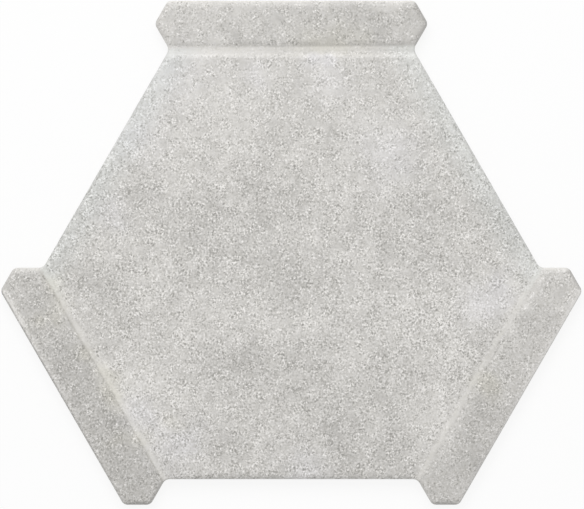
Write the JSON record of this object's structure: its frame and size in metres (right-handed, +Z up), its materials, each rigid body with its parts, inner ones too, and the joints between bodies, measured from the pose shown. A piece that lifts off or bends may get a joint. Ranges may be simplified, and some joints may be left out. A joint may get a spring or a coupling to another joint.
{
  "type": "hexagon floor tile",
  "caption": "Cement-look porcelain tile: a hexagon with a pointed strip along every second side, parted by pressed grooves, for interlocking floors.",
  "frame": {"origin": "centre of the tile on its bedding plane, which the ribs and the rim of the back lie in", "axes": "+Z up out of the face, +Y out through the middle of one strip, and that axis is one of three lines of mirror symmetry"},
  "size_m": [0.2496, 0.217, 0.009],
  "materials": {
    "cement_grey_porcelain": "matt glazed and printed face, bare fired body on the sides and back"
  },
  "bodies": {
    "root": {"hexagon_tile": "cement_grey_porcelain"}
  },
  "joints": []
}
